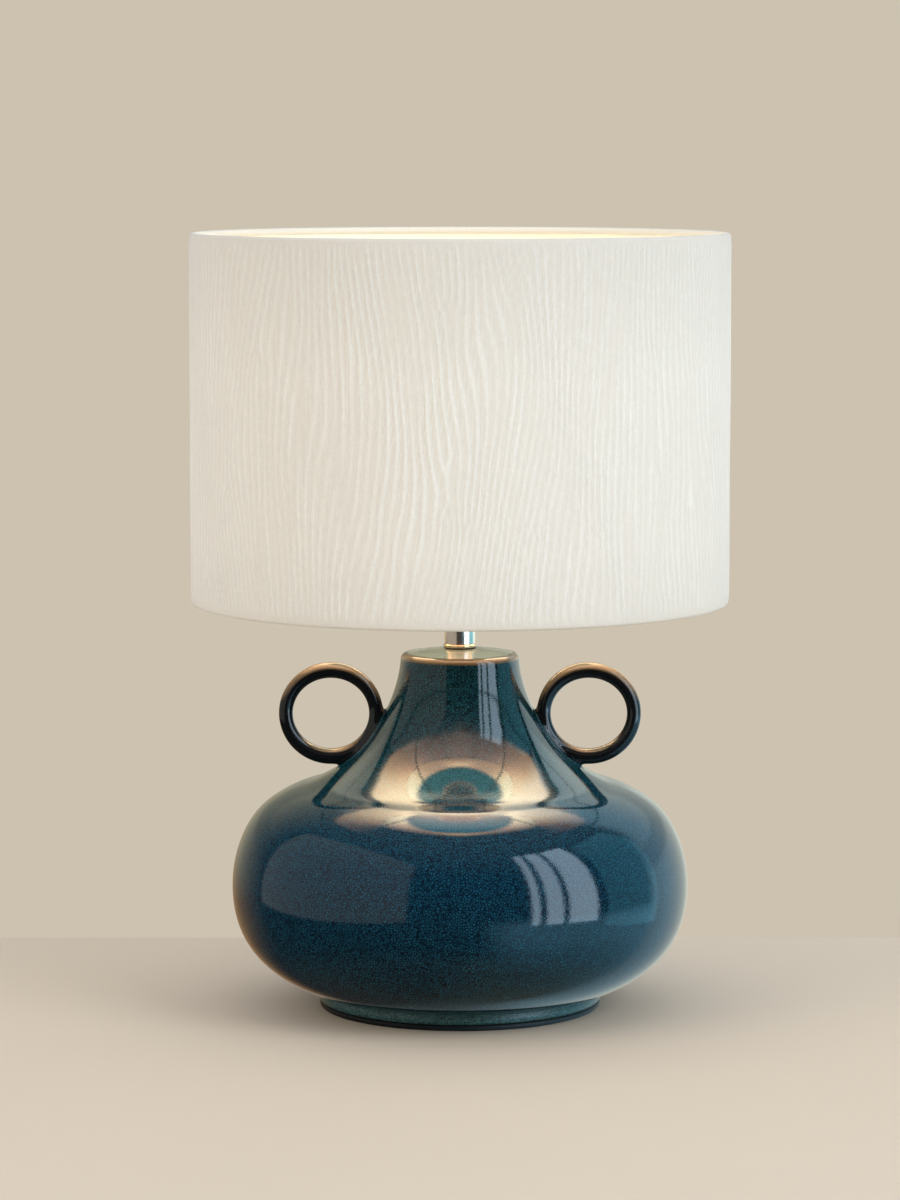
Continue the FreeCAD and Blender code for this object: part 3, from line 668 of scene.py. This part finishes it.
def shining(name, roughness, colour, scale, heights, dim, bright, strength):
    """Finish that glows, dim at the lower of two heights and brighter upwards; the third of the heights'
    numbers is the bright colour's share at the lower one. On the bulb's globe the glow is the bulb's
    own light; on the lining it is painted light that stands in for the bulb's light falling on it."""
    f = Finish(name, Roughness=roughness)
    f.wear(colour, scale, 0.02)
    f.set("Emission Color", f.mix(f.span(f.axis("Z"), *heights, 1.0), dim, bright))
    f.set("Emission Strength", strength)
    return f.material


def metal(name, colour, roughness, turned_marks=True, pitch=None):
    """Metal: plain, or with fine rings of tool marks round the lamp's axis, or with a thread of the
    given pitch as waves along it."""
    f = Finish(name, Metallic=1.0, Roughness=roughness)
    f.wear(colour, 420.0, 0.08 if pitch else 0.06)
    if pitch:
        wave = f.math("SINE", f.times(f.axis("Z"), 2 * math.pi / pitch))
        f.set("Normal", f.bump(wave, 0.8, pitch * 0.25))
    elif turned_marks:
        marks = f.noise(900.0, 2.0, stretch=(0.02, 0.02, 1.0))
        f.set("Normal", f.bump(marks, 0.12, 0.00005))
    return f.material


def moulded(name, colour, roughness, amount=0.05):
    """Moulded plastic, rubber or paint with a faint uneven tone and grain."""
    f = Finish(name, Roughness=roughness)
    f.wear(colour, 300.0, amount)
    f.set("Normal", f.bump(f.noise(1400.0, 2.0), 0.15, 0.0001))
    return f.material


def plain_stage(name, colour, tone_scale):
    """Matt floor or wall that is only there for what looks at its front."""
    f = Finish(name, Roughness=0.85)
    f.wear(colour, tone_scale, 0.012)
    out = f.tree.nodes["Material Output"]
    side, clear = f.add("NewGeometry").outputs["Backfacing"], f.add("BsdfTransparent").outputs[0]
    both = f.add("MixShader", {0: side, 1: f.shader.outputs[0], 2: clear})
    f.put(out.inputs["Surface"], both.outputs[0])
    return f.material


def dress(finish, *nodes):
    """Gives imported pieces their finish; their shape stays as it is."""
    for node in nodes:
        for slot in frame["nodes"][node].material_slots:
            slot.material = finish


# Settings

def length(name, text, value, low=0.0, high=1.0):
    return FloatProperty(name=name, description=text, default=value, min=low, max=high,
                         subtype="DISTANCE", unit="LENGTH", precision=5)


def number(name, text, value, high):
    return FloatProperty(name=name, description=text, default=value, min=0, max=high)


def colour(name, text, value):
    return FloatVectorProperty(name=name, description=text, default=value, size=4, min=0, max=1,
                               subtype="COLOR")


class LampVesselSettings(bpy.types.PropertyGroup):
    wall: length("Wall", "Thickness of the vessel's wall", 6.0 * MM)
    slip_reach: length("Slip", "How far the slip spreads where a ring is luted on", 4.6 * MM)
    neck_colour: colour("Neck", "Glaze on the neck", screen(12, 42, 42))
    belly_colour: colour("Belly", "Glaze on the belly", screen(4, 46, 72))
    # Rim colour: partly glaze running thin, partly a painted reflection of the lit shade.
    rim_colour: colour("Rim", "Glaze where it runs thin on the rim", screen(136, 106, 66))


class LampRingSettings(bpy.types.PropertyGroup):
    half_width: length("Half width", "Ring's centre to the middle of its bar, across", 29.5 * MM)
    half_height: length("Half height", "Ring's centre to the middle of its bar, upwards", 28.4 * MM)
    bar_radius: length("Bar radius", "Radius of the bar at the sides of the ring", 4.6 * MM)
    swell: length("Swell", "What the bar's radius gains at the ring's top and bottom", 0.6 * MM)
    ring_colour: colour("Ring", "Glaze on the rings", screen(12, 12, 13))


class LampShadeSettings(bpy.types.PropertyGroup):
    line_count: IntProperty(name="Raised lines", description="Raised lines round the drum",
                            default=230, min=20, max=260)
    line_height: length("Line height", "Height of the raised lines", 0.36 * MM, high=0.002)
    cloth_colour: colour("Cloth", "Colour of the cloth", screen(241, 243, 238))
    lining_colour: colour("Lining", "Colour of the lining", screen(240, 236, 222))
    # Strength of the lining's painted glow, which stands in for the bulb's light on it.
    lining_glow: number("Lining glow", "Light that the lining gives", 0.28, 5)


class LampLightSettings(bpy.types.PropertyGroup):
    bulb_glow: number("Bulb", "Brightness of the bulb's globe", 0.6, 50)
    key: number("Key", "Power of the soft light on the right", 27.0, 500)
    fill: number("Fill", "Power of the soft light on the left", 13.5, 500)
    sky: number("Sky", "Strength of the even light from all round", 0.75, 5)
    wall_colour: colour("Wall", "Colour of the backdrop", screen(205, 194, 176))
    floor_colour: colour("Floor", "Colour of the floor", screen(224, 210, 190))
    drum_glow: number("Drum", "Brightness of the lit drum in the glaze", 12.5, 100)


# One operator for each piece or group of like pieces

class LAMP_OT_vessel(bpy.types.Operator):
    """Glazed vessel with its closed neck, open foot and the hole for the flex"""
    bl_idname = "lamp.vessel"
    bl_label = "Vessel"

    def execute(self, context):
        settings = context.scene.lamp_vessel
        make_vessel(settings, vessel_glaze(settings))
        return {"FINISHED"}


class LAMP_OT_rings(bpy.types.Operator):
    """Two ring handles with their webs of slip"""
    bl_idname = "lamp.rings"
    bl_label = "Ring handles"

    def execute(self, context):
        settings = context.scene.lamp_rings
        finish = ring_glaze(settings)
        for side in (-1, 1):
            make_ring(side, settings, context.scene.lamp_vessel.slip_reach, finish)
        return {"FINISHED"}


class LAMP_OT_foot_and_bush(bpy.types.Operator):
    """Pad under the foot, and the bush for the flex"""
    bl_idname = "lamp.foot_and_bush"
    bl_label = "Pad and bush"

    def execute(self, context):
        _, top, radius = extent("base_pad")
        flat = np.array(((3, 0), (20, 0), (70, 0))) * MM
        lower = np.array(((-2, 0), (-0.6, 0.3), (0, 1.2))) * MM + (radius, 0)
        upper = np.array(((0, -1), (-0.6, -0.2), (-1.6, 0))) * MM + (radius, top)
        grid = turned(np.vstack((flat, lower, upper, flat[1::-1] + (0, top))), 256)
        rubber = moulded("pad_rubber", screen(4, 4, 4), 0.6)
        piece("foot_pad", skin(grid, (0.0, top)), rubber, "base", "base_pad")
        dress(rubber, "neck_cushion")
        dress(moulded("black_plastic", screen(20, 20, 20), 0.35), "cord_bush")
        return {"FINISHED"}


class LAMP_OT_neck_fittings(bpy.types.Operator):
    """Turned ring and tube on the neck, and what clamps them from inside"""
    bl_idname = "lamp.neck_fittings"
    bl_label = "Neck fittings"

    def execute(self, context):
        for name, node, slot, tone, roughness, cut in (
                ("turned_ring", "check_ring", "polished_brass", screen(214, 190, 150), 0.16, 0.85 * MM),
                ("tube", "neck_tube", "polished_steel", screen(228, 212, 194), 0.2, 0.3 * MM)):
            low, high, outer = extent(node)
            piece(name, skin(turned(ring_of(low, high, BORE_RADIUS, outer, cut), 128)),
                  metal(slot, tone, roughness), "base", node)
        zinc = screen(176, 176, 172)
        dress(metal("zinc_steel", zinc, 0.35), "inner_washer", "lock_washer", "nipple_nut")
        dress(metal("zinc_thread", zinc, 0.3, pitch=1.0 * MM), "threaded_nipple")
        return {"FINISHED"}


class LAMP_OT_lampholder(bpy.types.Operator):
    """Lampholder: cap, shell, insert, contacts, switch bar and the rings that hold the shade"""
    bl_idname = "lamp.lampholder"
    bl_label = "Lampholder"

    def execute(self, context):
        dress(moulded("holder_plastic", screen(226, 223, 214), 0.32, 0.02),
              "holder_cap", "holder_shell", "shade_seat_ring", "shade_clamp_ring", "push_bar")
        dress(moulded("insert_plastic", screen(214, 210, 200), 0.5), "holder_insert")
        brass = screen(214, 182, 118)
        dress(metal("contact_brass", brass, 0.3, turned_marks=False),
              "centre_contact", "contact_rivets", "terminal_blocks", "bulb_tip")
        dress(metal("shell_thread", brass, 0.3, pitch=BULB_THREAD), "screw_shell")
        return {"FINISHED"}


class LAMP_OT_shade(bpy.types.Operator):
    """Cloth drum with its lining, ring wires and carrier"""
    bl_idname = "lamp.shade"
    bl_label = "Drum shade"

    def execute(self, context):
        settings = context.scene.lamp_shade
        make_cloth(settings, cloth_finish(settings))
        low, high, outer = extent("shade_liner")
        outline = ring_of(low, high, outer - 0.4 * MM, outer, 0.1 * MM)
        # The lining's glow is painted light, brighter towards the upper rim, in place of the bulb's light
        # on it.
        finish = shining("shade_lining", 0.6, settings.lining_colour[:], 90.0,
                         (SHADE_HIGH - 0.09, SHADE_HIGH - 0.01, 0.35), screen(60, 50, 34),
                         screen(255, 240, 208), settings.lining_glow)
        lining = piece("lining", skin(turned(outline, 256)), finish, "shade", "shade_liner")
        lining.visible_glossy = False
        wire = moulded("white_wire", screen(228, 225, 216), 0.35, 0.03)
        dress(wire, "shade_spider", "shade_top_ring")
        return {"FINISHED"}


class LAMP_OT_bulb(bpy.types.Operator):
    """Bulb: screw cap with its thread, glass button, housing and lit globe"""
    bl_idname = "lamp.bulb"
    bl_label = "Bulb"

    def execute(self, context):
        nickel = metal("nickel", screen(196, 194, 188), 0.25, turned_marks=False)
        piece("screw_cap", screw_cap(*extent("bulb_cap")), nickel, "bulb", "bulb_cap")
        dress(moulded("glass_button", screen(34, 34, 42), 0.08), "bulb_insulator")
        dress(moulded("bulb_plastic", screen(236, 235, 230), 0.4, 0.02), "bulb_housing")
        glow = context.scene.lamp_light.bulb_glow
        dress(shining("opal_globe", 0.12, screen(250, 246, 236), 120.0, (0.338, 0.372, 0.75),
                      screen(255, 214, 150), screen(255, 238, 206), glow), "bulb_globe")
        return {"FINISHED"}


class Glow(Nodes):
    """Light of an area lamp by the place on the lamp that a ray of gloss meets."""

    def __init__(self, lamp):
        lamp.use_nodes = True
        super().__init__(lamp.node_tree)
        self.here = self.add("NewGeometry").outputs["Position"]
        self.x, self.y, self.z = (self.axis(letter, self.here) for letter in "XYZ")
        self.distance = self.add("LightPath").outputs["Ray Length"]

    def fading(self):
        """One for the light that falls on the neck and nothing for what goes further, to the
        shoulder: it falls with the distance and with how far forward and low the lamp's point is."""
        reach = self.math("MULTIPLY_ADD", self.y, -0.35, self.distance)
        reach = self.math("MULTIPLY_ADD", self.z, -0.9, reach)
        reach = self.math("MULTIPLY_ADD", self.math("ABSOLUTE", self.x), 0.1, reach)
        return self.span(self.math("ADD", reach, 0.9 * DRUM_HIGH), 0.391, 0.417, 1.0, 0.0)

    def emit(self, colour, strength=1.0):
        sockets = self.tree.nodes["Emission"].inputs
        self.put(sockets["Color"], colour)
        self.put(sockets["Strength"], strength)


def wall_glow(n):
    """Lit wall of the drum: dim and brown at the front, warm at the sides and bright at the back,
    brighter upwards and dark near the lower rim. Under the lit part of the back there is a faint
    green light at the sides, for what the shoulder mirrors from close by."""
    backness = n.math("DIVIDE", n.y, 0.17)
    tone = n.ramp(n.span(backness, -1.0, 1.0), (
        (0.00, (0.47, 0.28, 0.20)), (0.25, (0.42, 0.24, 0.16)), (0.45, (0.56, 0.31, 0.17)),
        (0.55, (0.69, 0.38, 0.20)), (0.65, (0.84, 0.51, 0.26)), (0.75, (0.90, 0.63, 0.35)),
        (0.85, (0.88, 0.66, 0.39)), (1.00, (0.92, 0.70, 0.42))))
    level = n.math("SUBTRACT", n.z, n.span(backness, 0.15, 0.5, 0.0, 0.045))
    level = n.math("SUBTRACT", level, n.span(backness, -0.3, -0.8, 0.0, 0.014))
    gap = n.times(n.span(backness, 0.84, 0.92), n.span(n.z, 0.43, 0.46))
    strength = n.times(n.span(n.z, 0.30, 0.47, 0.42, 1.0), n.span(level, 0.288, 0.305),
                       n.math("MULTIPLY_ADD", gap, -0.95, 1.0), n.fading())
    nearness = n.math("MULTIPLY_ADD", n.y, -0.5, n.math("SUBTRACT", n.distance, n.z))
    under = n.times(n.span(backness, 0.15, 0.35), n.span(level, 0.292, 0.284),
                    n.span(n.z, 0.205, 0.235), n.span(n.math("ABSOLUTE", n.x), 0.098, 0.118),
                    n.span(nearness, -0.100, -0.106))
    n.emit(n.mix(strength, n.mix(under, (0, 0, 0, 1), (0.058, 0.054, 0.042, 1)), tone))


def lid_glow(n):
    """Light above the upper rim of the drum, with a dark opening that is longer front to back and
    a bright spot in front of it."""
    tone = n.ramp(n.span(n.y, -DRUM_REACH, DRUM_REACH), (
        (0.00, (0.50, 0.28, 0.16)), (0.38, (0.60, 0.36, 0.20)), (0.50, (0.80, 0.50, 0.27)),
        (0.62, (1.00, 0.77, 0.44)), (0.74, (1.00, 0.84, 0.52))))
    spot = n.times(n.span(n.math("ABSOLUTE", n.x), 0.085, 0.02), n.span(n.y, -0.140, -0.115),
                   n.span(n.y, -0.06, -0.09))
    tone = n.mix(spot, tone, (1.0, 0.62, 0.34, 1))
    out = n.hypotenuse(n.math("DIVIDE", n.x, 0.106),
                       n.math("DIVIDE", n.math("SUBTRACT", n.y, 0.045), 0.140))
    n.emit(n.mix(n.span(out, 0.95, 1.07), (0.03, 0.09, 0.085, 1), tone), n.fading())


def band_glow(n):
    """Soft ring of light close over the front of the shoulder, which fades outwards and sideways."""
    radius = n.radius(n.here)
    tone = n.ramp(n.span(radius, 0.0735, 0.1225), (
        (0.00, (0, 0, 0)), (0.08, (0.79, 0.64, 0.44)), (0.20, (0.60, 0.41, 0.26)),
        (0.36, (0.37, 0.24, 0.18)), (0.52, (0.22, 0.165, 0.15)), (0.70, (0.11, 0.11, 0.12)),
        (0.90, (0.01, 0.03, 0.06)), (1.00, (0, 0, 0))))
    side = n.ramp(n.span(n.math("DIVIDE", n.y, radius), -1.0, -0.35), [
        (at, (grey, grey, grey)) for at, grey in (
            (0.00, 1.0), (0.08, 0.85), (0.16, 0.55), (0.32, 0.22), (0.80, 0.12), (1.00, 0.0))])
    n.emit(n.mix(1.0, tone, side, "MULTIPLY"))


def area_lamp(name, place, target, size, power, colour, gloss=False):
    """Area lamp aimed at a point. It lights matt surfaces and doesn't show in gloss, or the other
    way round when gloss is set."""
    lamp = bpy.data.lights.new(name, "AREA")
    lamp.shape = "RECTANGLE"
    lamp.size, lamp.size_y = size
    lamp.energy, lamp.color = power, colour[:3]
    made = bpy.data.objects.new(name, lamp)
    made.location = place
    made.rotation_euler = (Vector(target) - Vector(place)).to_track_quat("-Z", "Y").to_euler()
    made.visible_camera = False
    made.visible_glossy, made.visible_diffuse = gloss, not gloss
    bpy.context.scene.collection.objects.link(made)
    return lamp


def panel(name, place, target, size, radiance, colour=(1, 1, 1), glow=None, disk=False):
    """Lamp for gloss alone that looks as bright as the given radiance, which takes pi times as many
    watts for each square metre. A glow makes its light differ from place to place."""
    area = size[0] * size[1] * (math.pi / 4 if disk else 1)
    lamp = area_lamp(name, place, target, size, math.pi * radiance * area, colour, gloss=True)
    if disk:
        lamp.shape = "DISK"
    if glow:
        glow(Glow(lamp))


class LAMP_OT_stage(bpy.types.Operator):
    """Floor, backdrop, soft lights and camera"""
    bl_idname = "lamp.stage"
    bl_label = "Stage"

    def execute(self, context):
        scene, settings = context.scene, context.scene.lamp_light
        wide = 4.0
        mesh = bpy.data.meshes.new("floor")
        mesh.from_pydata([(-wide, -wide, 0), (wide, -wide, 0), (wide, TABLE_BACK, 0),
                          (-wide, TABLE_BACK, 0)], [], [(0, 1, 2, 3)])
        mesh.materials.append(plain_stage("floor", settings.floor_colour[:], 3.0))
        floor = bpy.data.objects.new("floor", mesh)
        floor.visible_glossy = False
        scene.collection.objects.link(floor)
        self.lights(settings)
        self.sky(scene, settings)
        camera = bpy.data.objects.new("camera", bpy.data.cameras.new("camera"))
        camera.data.lens = 129.46
        camera.data.sensor_width = 36
        camera.data.clip_start, camera.data.clip_end = 0.1, 50
        camera.location = (-0.00651, -2.80028, 0.56944)
        camera.rotation_euler = (math.radians(83.839), 0, 0)
        scene.collection.objects.link(camera)
        scene.camera = camera
        scene.view_settings.view_transform = "Standard"
        return {"FINISHED"}

    def lights(self, settings):
        """Two soft lamps, the windows and pale walls that gloss shows, and the lit drum in gloss."""
        area_lamp("key", (1.9, -1.5, 1.5), (0, 0, 0.25), (1.4, 1.4), settings.key, screen(246, 250, 255))
        area_lamp("fill", (-1.9, -1.3, 1.2), (0, 0, 0.3), (1.6, 1.6), settings.fill, screen(255, 228, 198))
        window = ((0.07, -0.125, 1.35), 2.6, 3.7, 4.8, screen(208, 234, 255))
        for name, azimuth, wide, (middle, away, tall, radiance, tone) in (
                ("window_0", 37.5, 0.20, window), ("window_1", 48, 0.42, window),
                ("window_2", 64.5, 0.78, window),
                ("side_panel", -71, 4.8, ((0, 0, 1.2), 2.4, 3.3, 0.42, screen(250, 246, 238))),
                ("far_panel", 98, 1.7, ((0.1, -0.1, 1.0), 2.4, 3.4, 0.80, screen(130, 226, 255)))):
            a, (x, y, z) = math.radians(azimuth), middle
            place = (x + away * math.sin(a), y - away * math.cos(a), z)
            panel(name, place, middle, (wide, tall), radiance, tone)
        size = (2 * DRUM_REACH * math.tan(math.pi / DRUM_PANELS), DRUM_HIGH - DRUM_LOW)
        middle = (DRUM_LOW + DRUM_HIGH) / 2
        for i in range(DRUM_PANELS):
            a = 2 * math.pi * (i + 0.5) / DRUM_PANELS
            panel(f"drum_wall_{i}", (DRUM_REACH * math.cos(a), DRUM_REACH * math.sin(a), middle),
                  (0, 0, middle), size, settings.drum_glow, glow=wall_glow)
        for name, height, reach, glow in (("drum_lid", DRUM_HIGH, DRUM_REACH, lid_glow),
                                          ("drum_band", BAND_HEIGHT, BAND_REACH, band_glow)):
            panel(name, (0, 0, height), (0, 0, 0), (2 * reach, 2 * reach), settings.drum_glow,
                  glow=glow, disk=True)

    def sky(self, scene, settings):
        """Even light for matt surfaces. The camera sees the backdrop's colour, and gloss sees that
        backdrop and the floor behind the lamp, a dim room in front of it and a paler ceiling."""
        world = scene.world or bpy.data.worlds.new("sky")
        scene.world = world
        world.use_nodes = True
        world.node_tree.nodes.clear()
        n = Nodes(world.node_tree)
        way = n.add("TexCoord").outputs["Generated"]
        path = n.add("LightPath").outputs
        x, y, z = (n.axis(letter, way) for letter in "XYZ")
        on_right = n.span(x, -0.15, 0.15)
        turn = n.math("MULTIPLY_ADD", x, 0.16, y)
        floor = n.mix(on_right, (0.10, 0.08, 0.06, 1), (0.19, 0.20, 0.15, 1))
        room = n.mix(n.span(z, 0.5, 0.95), (0.040, 0.048, 0.058, 1), (0.26, 0.28, 0.30, 1))
        room = n.mix(n.span(z, -0.55, -0.8), room, floor)
        side = n.times(n.span(x, 0.15, 0.45), n.span(z, -0.12, -0.22), n.span(z, -0.9, -0.4, 0.1, 1.0))
        room = n.mix(side, room, (0.40, 0.88, 1.20, 1))
        right = n.mix(n.span(turn, 0.72, 0.97), (0.72, 1.15, 1.40, 1), (0.90, 0.96, 0.86, 1))
        right = n.mix(n.span(z, -0.8, -0.1, 0.55, 0.0), right, (0.10, 0.09, 0.06, 1))
        left = n.mix(n.span(z, -0.20, -0.05), (0.42, 0.25, 0.12, 1), (0.54, 0.48, 0.32, 1))
        left = n.mix(n.span(z, -0.55, -0.30), (0.06, 0.04, 0.03, 1), left)
        behind = n.mix(on_right, left, right)
        line = n.times(n.span(z, 0.10, 0.16), n.span(z, 0.35, 0.31), 0.3)
        behind = n.mix(line, behind, (0.04, 0.06, 0.06, 1))
        share = n.math("MAXIMUM", n.times(n.span(turn, 0.48, 0.60), on_right),
                       n.times(n.span(turn, 0.30, 0.85), n.span(x, 0.15, -0.15)))
        even, gloss, wall = (
            n.add("Background", {0: tone, 1: strength}).outputs[0] for tone, strength in (
                (screen(247, 250, 255), settings.sky), (n.mix(share, room, behind), 1.0),
                (settings.wall_colour[:], 1.0)))
        both = n.add("MixShader", {0: path["Is Glossy Ray"], 1: even, 2: gloss}).outputs[0]
        straight = n.math("MAXIMUM", path["Is Camera Ray"], path["Is Transmission Ray"])
        n.add("OutputWorld", {0: n.add("MixShader", {0: straight, 1: both, 2: wall}).outputs[0]})


class LAMP_PT_pieces(bpy.types.Panel):
    """Lists the pieces of the lamp and their settings"""
    bl_label = "Table lamp"
    bl_idname = "LAMP_PT_pieces"
    bl_space_type = "VIEW_3D"
    bl_region_type = "UI"
    bl_category = "Lamp"

    def draw(self, context):
        for kind in OPERATORS:
            self.layout.operator(kind.bl_idname)
        for group in SETTINGS:
            box = self.layout.box()
            for name in SETTINGS[group].__annotations__:
                box.prop(getattr(context.scene, group), name)


SETTINGS = {"lamp_vessel": LampVesselSettings, "lamp_rings": LampRingSettings,
            "lamp_shade": LampShadeSettings, "lamp_light": LampLightSettings}
OPERATORS = (LAMP_OT_vessel, LAMP_OT_rings, LAMP_OT_foot_and_bush, LAMP_OT_neck_fittings,
             LAMP_OT_lampholder, LAMP_OT_shade, LAMP_OT_bulb, LAMP_OT_stage)


def register():
    for kind in (*SETTINGS.values(), *OPERATORS, LAMP_PT_pieces):
        bpy.utils.register_class(kind)
    for name, kind in SETTINGS.items():
        setattr(bpy.types.Scene, name, PointerProperty(type=kind))


def unregister():
    for name in SETTINGS:
        delattr(bpy.types.Scene, name)
    for kind in (LAMP_PT_pieces, *OPERATORS, *SETTINGS.values()):
        bpy.utils.unregister_class(kind)


def main():
    register()
    for kind in OPERATORS:
        family, name = kind.bl_idname.split(".")
        getattr(getattr(bpy.ops, family), name)()


if __name__ == "__main__":
    main()
